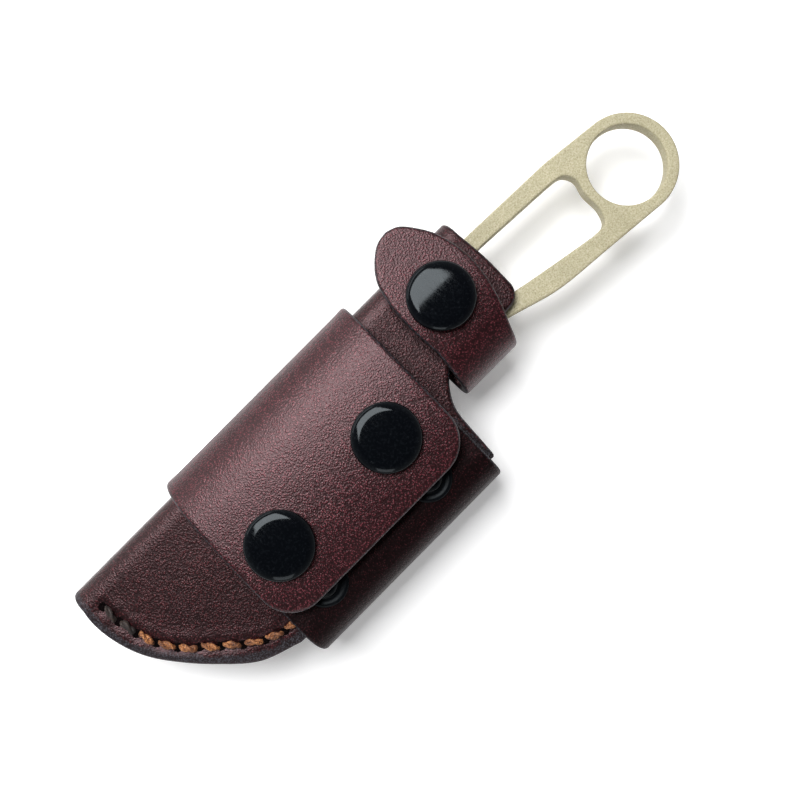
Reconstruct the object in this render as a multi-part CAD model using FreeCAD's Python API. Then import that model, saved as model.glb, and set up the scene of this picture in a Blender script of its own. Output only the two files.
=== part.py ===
"""Skeleton-handle ring knife in a folded leather scout-carry sheath.

Lying on its back: +X runs along the knife to the finger ring, +Y to the spine fold, +Z up from the face.
The origin is the middle of the footprint on the surface that it lies on.  All lengths in millimetres.
"""
import FreeCAD, Part
import math
import os

V = FreeCAD.Vector

# ---- driving dimensions -------------------------------------------------------------------------
MIDDLE_X = 0.63            # middle of the footprint, taken off every solid
MIDDLE_Y = 0.19

LEATHER = 2.0              # pouch and retention strap hide
WRAP_HIDE = 2.2            # belt wrap hide

POUCH_BACK_Z = 6.8         # underside of the pouch, above the belt passage
POUCH_HEIGHT = 8.4         # outside height of the folded pouch
POUCH_TOP_Z = POUCH_BACK_Z + POUCH_HEIGHT
POUCH_MID_Z = POUCH_BACK_Z + POUCH_HEIGHT / 2
SPINE_Y = 21.0             # outside of the pouch spine fold
TIP_X = -80.0              # spine corner at the closed end of the pouch
SKIVE_Y = -14.0            # the front panel thins from here to the stitched edge
SKIVE_SLOPE = 0.15
NECK_Y = -2.5              # free long side of the neck, knife bar showing past it
NECK_X = 34.4
MOUTH_X = 6.0
WELT_WIDTH = 7.0
STITCH_INSET = 4.4
STITCH_COUNT = 22
THREAD_R = 0.5
THREAD_HOLE_R = 0.62

KNIFE_THICK = 4.0
RING_X = 71.4
RING_Y = 1.35
RING_R = 11.6
RING_HOLE_R = 9.0
KNIFE_TIP = (-73.5, 9.0)
EDGE_Y = -5.8

SNAP_GAP = 3.0             # leather to leather at a closed snap
CAP_R = 7.5
CAP_HEIGHT = 2.4
SOCKET_R = 4.9
SOCKET_BORE_R = 3.7
STUD_FLANGE_R = 5.3
STUD_R = 2.95
POST_FLANGE_R = 4.7
TUBE_R = 1.8

STRAP_X0 = 10.8            # retention strap where it folds
STRAP_X1 = 26.4
STRAP_WALL_Y = -9.4        # outside of the strap fold
STRAP_HINGE = (-4.4, 15.2)
STRAP_TOP_R = 5.0
STRAP_LOW_R = 3.5
STRAP_SNAP = (20.8, 9.6)

WRAP_X0 = -50.4
WRAP_X1 = 4.5
WRAP_HINGE = (12.3, 11.4)  # centre of the spine-side fold
WRAP_FOLD_R = 11.4
WRAP_LOW_Y = -26.8         # outside of the edge-side fold
WRAP_LOW_R = 6.8
WRAP_INNER_Z = 15.4
WRAP_INNER_END = 11.5
WRAP_FLAP_END = -17.1
WRAP_FLAP_CORNER = 8.0
WRAP_SNAPS_X = (-8.4, -39.7)
WRAP_SNAP_Y = -3.25
SPARE_STUD_Y = -15.6
RIVETS_X = (-3.6, -42.4)
RIVET_Y = 6.6
HINGE_GAP = 0.1            # between a turning flap and the end of its fold


# ---- small helpers ------------------------------------------------------------------------------
def line(a, b):
    return Part.makeLine(V(a[0], a[1], 0), V(b[0], b[1], 0))


def arc(a, m, b):
    return Part.Arc(V(a[0], a[1], 0), V(m[0], m[1], 0), V(b[0], b[1], 0)).toShape()


def curve(points):
    spline = Part.BSplineCurve()
    spline.interpolate([V(x, y, 0) for x, y in points])
    return spline.toShape()


def face(edges):
    return Part.Face(Part.Wire(edges))


def slab(edges, z0, z1):
    plate = face(edges).extrude(V(0, 0, z1 - z0))
    plate.translate(V(0, 0, z0))
    return plate


def along_x(edges, x0, x1):
    """Extrude a profile drawn as (y, z) along X."""
    body = face(edges)
    body.rotate(V(0, 0, 0), V(1, 1, 1), 120)
    body = body.extrude(V(x1 - x0, 0, 0))
    body.translate(V(x0, 0, 0))
    return body


def box(x0, x1, y0, y1, z0, z1):
    return Part.makeBox(x1 - x0, y1 - y0, z1 - z0, V(x0, y0, z0))


def rod(x, y, r, z0, z1):
    return Part.makeCylinder(r, z1 - z0, V(x, y, z0))


def turned(x, y, profile):
    """Turn a closed (radius, z) outline about the vertical line through x, y."""
    points = [V(r, 0, z) for r, z in profile]
    section = Part.Face(Part.makePolygon(points + points[:1]))
    solid = section.revolve(V(0, 0, 0), V(0, 0, 1), 360)
    solid.translate(V(x, y, 0))
    return solid


def joined(shapes):
    first = shapes[0]
    if len(shapes) == 1:
        return first
    return first.multiFuse(shapes[1:]).removeSplitter()


# ---- pouch --------------------------------------------------------------------------------------
def stitched_edge():
    """Free edge of the pouch from the spine corner round the tip to the mouth."""
    tip = curve([
        (TIP_X, SPINE_Y), (-81.6, 14.0), (-80.8, 6.6), (-78.3, 0.0),
        (-73.6, -6.7), (-68.6, -12.2), (-62.0, -18.1), (-53.0, -21.5),
    ])
    bottom = line((-53.0, -21.5), (MOUTH_X - 0.8, -22.9))
    return [tip, bottom]


def inset_points(inset, start, end, count):
    """Points at equal steps along the stitched edge, moved inwards by inset."""
    edge = Part.Wire(stitched_edge())
    samples = edge.discretize(Number=401)
    pitch = edge.Length / 400
    points = []
    for i in range(count):
        travel = start + (edge.Length - start - end) * i / (count - 1)
        k = min(int(travel / pitch), 399)
        here = samples[k] + (samples[k + 1] - samples[k]) * (travel / pitch - k)
        along = (samples[k + 1] - samples[k]).normalize()
        points.append((here.x - along.y * inset, here.y + along.x * inset))
    return points


def mouth_and_neck():
    """From the mouth corner up the step, round the throat and along the neck to the spine."""
    return [
        line((MOUTH_X - 0.8, -22.9), (MOUTH_X, -12.0)),
        arc((MOUTH_X, -12.0), (7.6, -7.4), (11.8, NECK_Y)),
        line((11.8, NECK_Y), (30.6, NECK_Y)),
        arc((30.6, NECK_Y), (33.3, -1.3), (34.2, 1.2)),
        arc((34.2, 1.2), (NECK_X, 9.0), (32.0, SPINE_Y)),
        line((32.0, SPINE_Y), (TIP_X, SPINE_Y)),
    ]


def fold_profile():
    """Folded hide as (y, z): back panel, spine fold and front panel."""
    r_out = POUCH_HEIGHT / 2
    r_in = r_out - LEATHER
    y_c = SPINE_Y - r_out
    low = POUCH_BACK_Z
    top = POUCH_TOP_Z
    far = -30.0
    return [
        line((far, low), (y_c, low)),
        arc((y_c, low), (SPINE_Y, POUCH_MID_Z), (y_c, top)),
        line((y_c, top), (far, top)),
        line((far, top), (far, top - LEATHER)),
        line((far, top - LEATHER), (y_c, top - LEATHER)),
        arc((y_c, top - LEATHER), (y_c + r_in, POUCH_MID_Z), (y_c, low + LEATHER)),
        line((y_c, low + LEATHER), (far, low + LEATHER)),
        line((far, low + LEATHER), (far, low)),
    ]


def skive():
    """Wedge taken off the face beside the stitched edge."""
    drop = SKIVE_SLOPE * 20
    edges = [
        line((SKIVE_Y, POUCH_TOP_Z), (SKIVE_Y - 20, POUCH_TOP_Z - drop)),
        line((SKIVE_Y - 20, POUCH_TOP_Z - drop), (SKIVE_Y - 20, POUCH_TOP_Z + 1)),
        line((SKIVE_Y - 20, POUCH_TOP_Z + 1), (SKIVE_Y, POUCH_TOP_Z + 1)),
        line((SKIVE_Y, POUCH_TOP_Z + 1), (SKIVE_Y, POUCH_TOP_Z)),
    ]
    return along_x(edges, -95, 45)


def front_z(y):
    """Height of the front face at y."""
    return POUCH_TOP_Z - SKIVE_SLOPE * max(0.0, SKIVE_Y - y)


def stitch_holes():
    points = inset_points(STITCH_INSET, 8.0, 3.0, STITCH_COUNT)
    return [rod(x, y, THREAD_HOLE_R, POUCH_BACK_Z - 1, POUCH_TOP_Z + 1) for x, y in points]


def pouch_shell():
    outline = stitched_edge() + mouth_and_neck()
    hide = slab(outline, POUCH_BACK_Z, POUCH_TOP_Z).common(along_x(fold_profile(), -95, 45))
    band = box(STRAP_X0, STRAP_X1, -5.9, NECK_Y + 1, POUCH_BACK_Z, POUCH_BACK_Z + LEATHER)
    hide = joined([hide, band]).cut(skive())
    x, y = STRAP_SNAP
    hide = hide.cut(rod(x, y, TUBE_R + 0.1, POUCH_TOP_Z - LEATHER - 1, POUCH_TOP_Z + 1))
    hide = hide.cut(rod(x, y, POST_FLANGE_R + 0.1, POUCH_TOP_Z - LEATHER - 1, POUCH_TOP_Z - LEATHER + 0.7))
    for x in RIVETS_X:
        hide = hide.cut(rod(x, RIVET_Y, 1.6, POUCH_TOP_Z - LEATHER - 1, POUCH_TOP_Z + 1))
        hide = hide.cut(rod(x, RIVET_Y, 3.6, POUCH_TOP_Z - LEATHER - 1, POUCH_TOP_Z - LEATHER + 0.6))
    return hide.cut(stitch_holes())


def pouch_welt():
    """Spacer strip between the two panels along the stitched edge."""
    inner = inset_points(WELT_WIDTH, 3.0, 0.0, 9)
    outer = stitched_edge()
    edges = outer + [
        line((MOUTH_X - 0.8, -22.9), inner[-1]),
        curve(inner[::-1]),
        line(inner[0], (TIP_X, SPINE_Y)),
    ]
    low = POUCH_BACK_Z + LEATHER
    welt = slab(edges, low, POUCH_TOP_Z - LEATHER)
    welt = welt.common(box(-95, 45, -40, SPINE_Y - POUCH_HEIGHT / 2, low, POUCH_TOP_Z))
    return welt.cut(stitch_holes())


def thread_bar(a, b, z, up):
    """Half-round run of thread from hole to hole, lying on one face of the pouch."""
    start = V(a[0], a[1], z)
    way = V(b[0] - a[0], b[1] - a[1], 0)
    step = V(way).normalize() * (THREAD_R + 0.02)
    bar = Part.makeCylinder(THREAD_R, way.Length - 2 * step.Length, start + step, way)
    if up:
        return bar.common(box(-95, 45, -40, 40, z, z + 2))
    return bar.common(box(-95, 45, -40, 40, z - 2, z))


def pouch_stitching():
    """Waxed thread: runs on both faces, and a leg through each hole."""
    points = inset_points(STITCH_INSET, 8.0, 3.0, STITCH_COUNT)
    lift = 0.14
    bits = []
    for x, y in points:
        bits.append(rod(x, y, THREAD_R, POUCH_BACK_Z - 0.1, front_z(y) + lift + 0.1))
    for a, b in zip(points, points[1:]):
        z = max(front_z(a[1]), front_z(b[1])) + lift
        bits.append(thread_bar(a, b, z, True))
        bits.append(thread_bar(a, b, POUCH_BACK_Z - 0.03, False))
    return bits


# ---- knife --------------------------------------------------------------------------------------
def knife_outline():
    ring_top = (72.2, RING_Y + RING_R - 0.03)
    ring_low = (70.2, RING_Y - RING_R + 0.06)
    return [
        curve([KNIFE_TIP, (-63.0, 12.4), (-50.0, 14.7), (-36.0, 15.3)]),
        line((-36.0, 15.3), (35.2, 15.3)),
        line((35.2, 15.3), (58.4, 14.5)),
        line((58.4, 14.5), ring_top),
        arc(ring_top, (RING_X + RING_R, RING_Y), ring_low),
        line(ring_low, (54.3, -8.7)),
        curve([(54.3, -8.7), (41.5, -7.4), (30.0, -4.2), (20.0, -1.9),
               (12.5, -1.7), (9.0, -3.7), (7.0, -5.6)]),
        line((7.0, -5.6), (4.6, -5.6)),
        curve([(4.6, -5.6), (2.4, -3.2), (-0.6, -3.2), (-2.4, EDGE_Y)]),
        line((-2.4, EDGE_Y), (-38.0, EDGE_Y)),
        curve([(-38.0, EDGE_Y), (-52.0, -4.0), (-64.0, 1.2), KNIFE_TIP]),
    ]


def knife_window():
    """Long opening in the handle; its ring end is the lip that lifts a crown cap."""
    return [
        line((22.0, 11.4), (36.0, 11.4)),
        line((36.0, 11.4), (56.2, 10.3)),
        curve([
            (56.2, 10.3), (59.6, 9.6), (61.0, 7.2), (60.2, 3.4), (60.1, -1.6), (58.6, -4.4), (54.8, -4.5),
        ]),
        curve([(54.8, -4.5), (44.0, -2.6), (34.0, -0.7), (24.0, 1.6)]),
        arc((24.0, 1.6), (17.6, 6.4), (22.0, 11.4)),
    ]


def bevel_cutter(side):
    """Wedge that grinds one cheek of the blade down to the straight edge."""
    mid = POUCH_MID_Z
    cheek = mid + side * KNIFE_THICK / 2
    thin = mid + side * 0.25
    edges = [
        line((6.5, cheek), (EDGE_Y - 1, thin)),
        line((EDGE_Y - 1, thin), (EDGE_Y - 1, cheek + side)),
        line((EDGE_Y - 1, cheek + side), (6.5, cheek + side)),
        line((6.5, cheek + side), (6.5, cheek)),
    ]
    return along_x(edges, -80.0, -3.0)


def tip_cutter(side):
    """Wedge that grinds the same cheek towards the curved belly."""
    mid = POUCH_MID_Z
    cheek = mid + side * KNIFE_THICK / 2
    thin = mid + side * 0.25
    edges = [
        line((12.5, cheek), (-1.5, thin)),
        line((-1.5, thin), (-9.0, thin)),
        line((-9.0, thin), (-9.0, cheek + side)),
        line((-9.0, cheek + side), (12.5, cheek + side)),
        line((12.5, cheek + side), (12.5, cheek)),
    ]
    wedge = along_x(edges, -60.0, 30.0)
    wedge.rotate(V(0, 0, 0), V(0, 0, 1), -25.0)
    wedge.translate(V(-56.0, -2.6, 0))
    return wedge


def knife():
    low = POUCH_MID_Z - KNIFE_THICK / 2
    top = POUCH_MID_Z + KNIFE_THICK / 2
    steel = slab(knife_outline(), low, top)
    steel = steel.cut(rod(RING_X, RING_Y, RING_HOLE_R, low - 1, top + 1))
    steel = steel.cut(slab(knife_window(), low - 1, top + 1))
    for side in (1, -1):
        steel = steel.cut(bevel_cutter(side))
        tip = tip_cutter(side).common(box(-90, -30, -20, 30, 0, 30))
        steel = steel.cut(tip)
    return steel


# ---- retention strap ----------------------------------------------------------------------------
def strap_fold():
    """Strap from the back panel round the open side of the handle to the hinge line."""
    y_h, z_h = STRAP_HINGE
    r_in = STRAP_TOP_R - LEATHER
    low_in = STRAP_LOW_R - LEATHER
    y_low = STRAP_WALL_Y + STRAP_LOW_R
    z_low = POUCH_BACK_Z + STRAP_LOW_R
    wall_in = STRAP_WALL_Y + LEATHER
    k = math.sqrt(0.5)
    bend = k * STRAP_LOW_R
    edges = [
        arc((y_low, POUCH_BACK_Z), (y_low - bend, z_low - bend), (STRAP_WALL_Y, z_low)),
        line((STRAP_WALL_Y, z_low), (STRAP_WALL_Y, z_h)),
        arc((STRAP_WALL_Y, z_h), (y_h - k * STRAP_TOP_R, z_h + k * STRAP_TOP_R), (y_h, z_h + STRAP_TOP_R)),
        line((y_h, z_h + STRAP_TOP_R), (y_h, z_h + r_in)),
        arc((y_h, z_h + r_in), (y_h - k * r_in, z_h + k * r_in), (wall_in, z_h)),
        line((wall_in, z_h), (wall_in, z_low)),
        arc((wall_in, z_low), (y_low - k * low_in, z_low - k * low_in), (y_low, POUCH_BACK_Z + LEATHER)),
        line((y_low, POUCH_BACK_Z + LEATHER), (y_low, POUCH_BACK_Z)),
    ]
    return along_x(edges, STRAP_X0, STRAP_X1)


def strap_flap():
    y0 = STRAP_HINGE[0] + HINGE_GAP
    z0 = STRAP_HINGE[1] + STRAP_TOP_R - LEATHER
    outline = curve([
        (STRAP_X1, y0), (29.3, 1.5), (31.0, 8.0), (30.9, 14.5), (28.6, 21.0), (25.2, 25.6), (21.6, 27.1),
        (18.0, 25.8), (14.0, 21.0), (11.9, 15.0), (11.5, 8.0), (11.7, 2.0), (STRAP_X0, y0),
    ])
    flap = slab([outline, line((STRAP_X0, y0), (STRAP_X1, y0))], z0, z0 + LEATHER)
    return flap.cut(rod(STRAP_SNAP[0], STRAP_SNAP[1], 2.2, z0 - 1, z0 + LEATHER + 1))


# ---- belt wrap ----------------------------------------------------------------------------------
def wrap_profile():
    """Wrap as (y, z) from its end on the front panel, round the edge side, to the spine-side fold."""
    t = WRAP_HIDE
    r = WRAP_LOW_R
    y_c = WRAP_LOW_Y + r
    z_up = WRAP_INNER_Z + t - r
    k = math.sqrt(0.5)
    r_in = r - t
    y_in = WRAP_LOW_Y + t
    top = WRAP_INNER_Z + t
    return [
        line((WRAP_INNER_END, top), (y_c, top)),
        arc((y_c, top), (y_c - k * r, z_up + k * r), (WRAP_LOW_Y, z_up)),
        line((WRAP_LOW_Y, z_up), (WRAP_LOW_Y, r)),
        arc((WRAP_LOW_Y, r), (y_c - k * r, r - k * r), (y_c, 0)),
        line((y_c, 0), (WRAP_HINGE[0], 0)),
        line((WRAP_HINGE[0], 0), (WRAP_HINGE[0], t)),
        line((WRAP_HINGE[0], t), (y_c, t)),
        arc((y_c, t), (y_c - k * r_in, r - k * r_in), (y_in, r)),
        line((y_in, r), (y_in, z_up)),
        arc((y_in, z_up), (y_c - k * r_in, z_up + k * r_in), (y_c, WRAP_INNER_Z)),
        line((y_c, WRAP_INNER_Z), (WRAP_INNER_END, WRAP_INNER_Z)),
        line((WRAP_INNER_END, WRAP_INNER_Z), (WRAP_INNER_END, top)),
    ]


def wrap_strap():
    hide = along_x(wrap_profile(), WRAP_X0, WRAP_X1)
    low = WRAP_INNER_Z - 0.1
    top = WRAP_INNER_Z + WRAP_HIDE + 0.1
    for x in WRAP_SNAPS_X:
        for y in (WRAP_SNAP_Y, SPARE_STUD_Y):
            hide = hide.cut(rod(x, y, TUBE_R + 0.1, low, top))
            hide = hide.cut(rod(x, y, POST_FLANGE_R + 0.1, low, WRAP_INNER_Z + 0.7))
    for x in RIVETS_X:
        hide = hide.cut(rod(x, RIVET_Y, 1.6, low, top))
    return hide


def wrap_fold():
    y_c, z_c = WRAP_HINGE
    r = WRAP_FOLD_R
    r_in = r - WRAP_HIDE
    edges = [
        arc((y_c, z_c - r), (y_c + r, z_c), (y_c, z_c + r)),
        line((y_c, z_c + r), (y_c, z_c + r_in)),
        arc((y_c, z_c + r_in), (y_c + r_in, z_c), (y_c, z_c - r_in)),
        line((y_c, z_c - r_in), (y_c, z_c - r)),
    ]
    return along_x(edges, WRAP_X0, WRAP_X1)


def wrap_flap():
    y0 = WRAP_HINGE[0] - HINGE_GAP
    z0 = WRAP_HINGE[1] + WRAP_FOLD_R - WRAP_HIDE
    y1 = WRAP_FLAP_END
    c = WRAP_FLAP_CORNER
    k = c * (1 - math.sqrt(0.5))
    edges = [
        line((WRAP_X0, y0), (WRAP_X0, y1 + c)),
        arc((WRAP_X0, y1 + c), (WRAP_X0 + k, y1 + k), (WRAP_X0 + c, y1)),
        line((WRAP_X0 + c, y1), (WRAP_X1 - c, y1)),
        arc((WRAP_X1 - c, y1), (WRAP_X1 - k, y1 + k), (WRAP_X1, y1 + c)),
        line((WRAP_X1, y1 + c), (WRAP_X1, y0)),
        line((WRAP_X1, y0), (WRAP_X0, y0)),
    ]
    flap = slab(edges, z0, z0 + WRAP_HIDE)
    for x in WRAP_SNAPS_X:
        flap = flap.cut(rod(x, WRAP_SNAP_Y, 2.2, z0 - 1, z0 + WRAP_HIDE + 1))
    return flap


# ---- snap fasteners and rivets ------------------------------------------------------------------
def snap_cap(x, y, top, hide):
    """Domed cap with the tube that clenches the socket; top is the upper face of the flap."""
    z = top + 0.02
    h = CAP_HEIGHT
    r = CAP_R
    return turned(x, y, [
        (0, z + h), (0.3 * r, z + h - 0.09), (0.6 * r, z + h - 0.38), (0.82 * r, z + h - 0.8),
        (0.95 * r, z + h - 1.3), (r, z + h - 1.8), (r, z + 0.25), (0.97 * r, z), (2.1, z),
        (2.1, top - hide - 0.45), (1.5, top - hide - 0.45), (1.5, z + 0.6), (0, z + 0.6),
    ])


def snap_socket(x, y, low):
    """Spring socket under the flap; low is the lower face of the flap."""
    roof = low - 0.02
    return turned(x, y, [
        (2.2, roof), (6.0, roof), (6.0, roof - 0.4), (SOCKET_R, roof - 0.55), (SOCKET_R, low - 2.1),
        (SOCKET_R - 0.2, low - 2.25), (SOCKET_BORE_R + 0.2, low - 2.25), (SOCKET_BORE_R, low - 2.05),
        (SOCKET_BORE_R, roof - 0.5), (2.2, roof - 0.5),
    ])


def snap_stud(x, y, top):
    """Stud with a rimmed flange; top is the upper face of the leather that carries it."""
    z = top + 0.02
    return turned(x, y, [
        (TUBE_R + 0.05, z), (STUD_FLANGE_R, z), (STUD_FLANGE_R, z + 0.3), (STUD_FLANGE_R - 0.5, z + 0.48),
        (STUD_FLANGE_R - 1.0, z + 0.3), (STUD_R + 0.3, z + 0.3), (STUD_R - 0.15, z + 0.9), (STUD_R, z + 1.4),
        (STUD_R - 0.3, z + 1.95), (STUD_R - 0.9, z + 2.15), (0, z + 2.15), (0, z + 1.75),
        (TUBE_R + 0.05, z + 1.75),
    ])


def snap_post(x, y, low, top):
    """Post flange let into the lower face, its tube going up into the stud."""
    z = low + 0.05
    return turned(x, y, [
        (0, z), (POST_FLANGE_R, z), (POST_FLANGE_R, z + 0.35), (POST_FLANGE_R - 0.3, z + 0.55),
        (TUBE_R, z + 0.6),
        (TUBE_R, top + 1.6), (TUBE_R - 0.5, top + 1.6), (TUBE_R - 0.5, z + 0.5), (0, z + 0.5),
    ])


def rivet_cap(x):
    top = WRAP_INNER_Z + WRAP_HIDE + 0.02
    return turned(x, RIVET_Y, [
        (0, top + 1.0), (1.6, top + 0.9), (2.9, top + 0.55), (3.4, top + 0.1), (3.4, top), (1.5, top),
        (1.5, top - 3.6), (0.9, top - 3.6), (0.9, top + 0.4), (0, top + 0.4),
    ])


def rivet_post(x):
    low = POUCH_TOP_Z - LEATHER + 0.05
    return turned(x, RIVET_Y, [
        (0, low), (3.4, low), (3.4, low + 0.4), (1.5, low + 0.45), (0.8, low + 0.6), (0.8, low + 4.2),
        (0, low + 4.2),
    ])


# ---- export -------------------------------------------------------------------------------------
def export(name, shapes):
    placed = []
    for shape in shapes:
        copy = shape.copy()
        copy.translate(V(-MIDDLE_X, -MIDDLE_Y, 0))
        placed.append(copy)
    whole = placed[0] if len(placed) == 1 else Part.makeCompound(placed)
    whole.exportStep("parts/" + name + ".step")


def main():
    os.makedirs("parts", exist_ok=True)
    export("knife", [knife()])
    export("pouch_shell", [pouch_shell()])
    export("pouch_welt", [pouch_welt()])
    export("pouch_stitching", pouch_stitching())
    export("strap_fold", [strap_fold()])
    export("strap_flap", [strap_flap()])
    export("wrap_strap", [wrap_strap()])
    export("wrap_fold", [wrap_fold()])
    export("wrap_flap", [wrap_flap()])
    export("wrap_rivet_caps", [rivet_cap(x) for x in RIVETS_X])
    export("wrap_rivet_posts", [rivet_post(x) for x in RIVETS_X])

    strap_low = STRAP_HINGE[1] + STRAP_TOP_R - LEATHER
    x, y = STRAP_SNAP
    export("strap_snap_cap", [snap_cap(x, y, strap_low + LEATHER, LEATHER)])
    export("strap_snap_socket", [snap_socket(x, y, strap_low)])
    export("strap_snap_stud", [snap_stud(x, y, POUCH_TOP_Z)])
    export("strap_snap_post", [snap_post(x, y, POUCH_TOP_Z - LEATHER, POUCH_TOP_Z)])

    flap_low = WRAP_HINGE[1] + WRAP_FOLD_R - WRAP_HIDE
    base_top = WRAP_INNER_Z + WRAP_HIDE
    for label, x in zip(("a", "b"), WRAP_SNAPS_X):
        export("wrap_snap_cap_" + label, [snap_cap(x, WRAP_SNAP_Y, flap_low + WRAP_HIDE, WRAP_HIDE)])
        export("wrap_snap_socket_" + label, [snap_socket(x, WRAP_SNAP_Y, flap_low)])
        export("wrap_snap_stud_" + label, [snap_stud(x, WRAP_SNAP_Y, base_top)])
        export("wrap_snap_post_" + label, [snap_post(x, WRAP_SNAP_Y, WRAP_INNER_Z, base_top)])
        export("spare_stud_" + label, [snap_stud(x, SPARE_STUD_Y, base_top)])
        export("spare_post_" + label, [snap_post(x, SPARE_STUD_Y, WRAP_INNER_Z, base_top)])


main()
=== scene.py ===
"""Looks of the skeleton-handle ring knife and its folded leather sheath.

Lengths are millimetres in drawing coordinates until make() turns them into metres about MID.
X runs along the sheath to the ring, Y from the stitched edge to the folded spine, Z up.
"""
import math

import bpy
import numpy as np
from mathutils import Matrix, Vector, geometry


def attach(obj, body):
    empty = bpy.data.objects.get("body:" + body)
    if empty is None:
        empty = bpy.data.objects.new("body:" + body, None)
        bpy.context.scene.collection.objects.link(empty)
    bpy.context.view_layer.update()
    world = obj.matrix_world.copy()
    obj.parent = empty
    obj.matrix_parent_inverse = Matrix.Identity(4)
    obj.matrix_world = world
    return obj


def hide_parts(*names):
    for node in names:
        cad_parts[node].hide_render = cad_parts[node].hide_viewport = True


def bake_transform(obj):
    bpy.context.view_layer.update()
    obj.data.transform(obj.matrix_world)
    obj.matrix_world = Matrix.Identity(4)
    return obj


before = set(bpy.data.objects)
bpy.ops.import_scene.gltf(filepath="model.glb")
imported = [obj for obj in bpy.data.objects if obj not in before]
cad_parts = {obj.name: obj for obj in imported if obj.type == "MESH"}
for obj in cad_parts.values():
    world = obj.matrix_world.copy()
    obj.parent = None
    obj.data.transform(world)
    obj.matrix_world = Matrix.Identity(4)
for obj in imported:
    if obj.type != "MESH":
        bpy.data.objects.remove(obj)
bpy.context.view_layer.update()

# ---- shared sizes -------------------------------------------------------------------------------
MID = np.array([0.63, 0.19, 0.0])          # middle of the footprint in drawing coordinates
HIDE_T = 2.0                               # pouch and strap leather
WRAP_T = 2.2                               # wrap leather
CORE_Z = 11.0                              # middle of the knife and of the pouch
FOLD_Y, FOLD_R = 16.8, 2.2                 # inside of the pouch's folded spine
FRONT_IN, BACK_IN = 13.2, 8.8              # inner faces of the pouch's panels
FRONT_TOP, BACK_LOW = 15.2, 6.8            # and their outer faces
FAR_Y = -40.0                              # where the pouch's panel paths start, past the edge
SKIVE_Y, SKIVE_SLOPE = -14.0, 0.15         # the front panel thins towards the stitches

STRAP_SNAP = (20.8, 9.6)
WRAP_SNAP_Y, SPARE_Y = -3.25, -15.6
WRAP_SNAP_X = {"a": -8.4, "b": -39.7}
RIVET_X, RIVET_Y = (-3.6, -42.4), 6.6
WRAP_LOW = 15.4                            # lower face of the wrap's inner run, over the pouch
FLAP_LOW = 20.6                            # lower face of the closed wrap flap at its snaps
STRAP_LOW = 18.2                           # lower face of the closed strap flap
TIP_LEAN = 0.05                            # the closed strap falls a little towards its tip


# ---- curves and loops ---------------------------------------------------------------------------
def smooth(points, per=14):
    """Open curve through a few points (centripetal Catmull-Rom)."""
    p = np.array(points, float)
    p = np.vstack([2 * p[0] - p[1], p, 2 * p[-1] - p[-2]])
    out = []
    for i in range(1, len(p) - 2):
        a, b, c, d = p[i - 1], p[i], p[i + 1], p[i + 2]
        t1 = np.linalg.norm(b - a) ** 0.5
        t2 = t1 + np.linalg.norm(c - b) ** 0.5
        t3 = t2 + np.linalg.norm(d - c) ** 0.5
        for t in np.linspace(t1, t2, per, endpoint=False):
            a1 = (t1 - t) / t1 * a + t / t1 * b
            a2 = (t2 - t) / (t2 - t1) * b + (t - t1) / (t2 - t1) * c
            a3 = (t3 - t) / (t3 - t2) * c + (t - t2) / (t3 - t2) * d
            b1 = (t2 - t) / t2 * a1 + t / t2 * a2
            b2 = (t3 - t) / (t3 - t1) * a2 + (t - t1) / (t3 - t1) * a3
            out.append((t2 - t) / (t2 - t1) * b1 + (t - t1) / (t2 - t1) * b2)
    out.append(p[-2])
    return [tuple(q) for q in out]


def arc(centre, radius, start, stop, count=16):
    """Points on a circle from start to stop, in degrees."""
    return [(centre[0] + radius * math.cos(math.radians(a)), centre[1] + radius * math.sin(math.radians(a)))
            for a in np.linspace(start, stop, count)]


def straight(a, b, count=30):
    return [tuple(p) for p in np.linspace(a, b, count)]


def bezier(a, b, c, d, count=40):
    return [tuple((1 - t) ** 3 * np.array(a) + 3 * t * (1 - t) ** 2 * np.array(b)
                  + 3 * t * t * (1 - t) * np.array(c) + t ** 3 * np.array(d))
            for t in np.linspace(0, 1, count)]


def resample(points, step):
    """Closed loop at even steps, without repeated points."""
    p = np.array(points, float)
    p = np.vstack([p, p[:1]])
    d = np.r_[0, np.cumsum(np.linalg.norm(np.diff(p, axis=0), axis=1))]
    n = max(8, int(round(d[-1] / step)))
    s = np.linspace(0, d[-1], n, endpoint=False)
    return np.column_stack([np.interp(s, d, p[:, 0]), np.interp(s, d, p[:, 1])])


def turn_left(loop):
    """The loop in the counter-clockwise direction."""
    x, y = loop[:, 0], loop[:, 1]
    area = np.sum(x * np.roll(y, -1) - np.roll(x, -1) * y)
    return loop if area > 0 else loop[::-1]


def inside(points, loops):
    """Which points lie inside the loops, counted by crossings."""
    odd = np.zeros(len(points), bool)
    for loop in loops:
        for (x0, y0), (x1, y1) in zip(loop, np.roll(loop, -1, axis=0)):
            if y0 == y1:
                continue
            cross = (points[:, 1] < y0) != (points[:, 1] < y1)
            at = x0 + (points[:, 1] - y0) * (x1 - x0) / (y1 - y0)
            odd ^= cross & (points[:, 0] < at)
    return odd


def distance(points, loop):
    """Distance from each point to a closed loop."""
    best = np.full(len(points), 1e9)
    for p, q in zip(loop, np.roll(loop, -1, axis=0)):
        d = q - p
        t = np.clip(((points - p) @ d) / max(d @ d, 1e-12), 0, 1)
        best = np.minimum(best, np.linalg.norm(points - p - t[:, None] * d, axis=1))
    return best


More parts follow.
